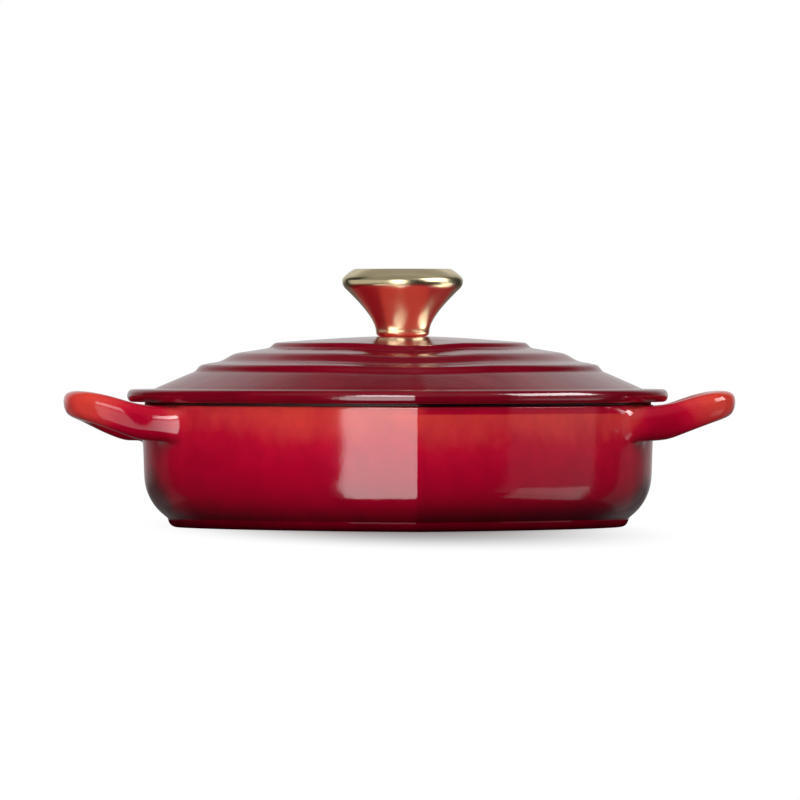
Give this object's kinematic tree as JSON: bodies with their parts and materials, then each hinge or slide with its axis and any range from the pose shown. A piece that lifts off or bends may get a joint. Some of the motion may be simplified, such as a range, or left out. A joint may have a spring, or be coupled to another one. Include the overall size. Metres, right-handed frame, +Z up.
{
  "type": "heart-shaped casserole",
  "caption": "Shallow heart-shaped enamelled iron casserole with loop handles cast on the pot and a stepped lift-off lid with a flared metal knob.",
  "frame": {"origin": "on the surface that the foot ring stands on, under the middle of the casserole's bounding box", "axes": "+Z up, +X from the middle to one handle, -Y towards the tip of the heart"},
  "size_m": [0.3198, 0.246, 0.1222],
  "materials": {
    "pot_enamel": "gloss vitreous enamel over cast iron, orange-red at the rim shading to dark red at the foot",
    "lid_enamel": "gloss dark red vitreous enamel over cast iron",
    "knob_gold": "polished steel with a gold-coloured coating",
    "fixing_steel": "plain machined steel",
    "gasket_silicone": "matt dark silicone"
  },
  "bodies": {
    "pot": {"casserole_body": "pot_enamel"},
    "lid": {"lid": "lid_enamel", "knob_gasket": "gasket_silicone", "knob_shell": "knob_gold", "knob_cap": "knob_gold", "knob_insert": "fixing_steel", "screw_washer": "fixing_steel", "lid_screw": "fixing_steel"}
  },
  "joints": [
    {"name": "lid_lift", "type": "slide", "parent": "pot", "child": "lid", "axis": [0, 0, 1], "range_m": [0, 0.12]}
  ]
}
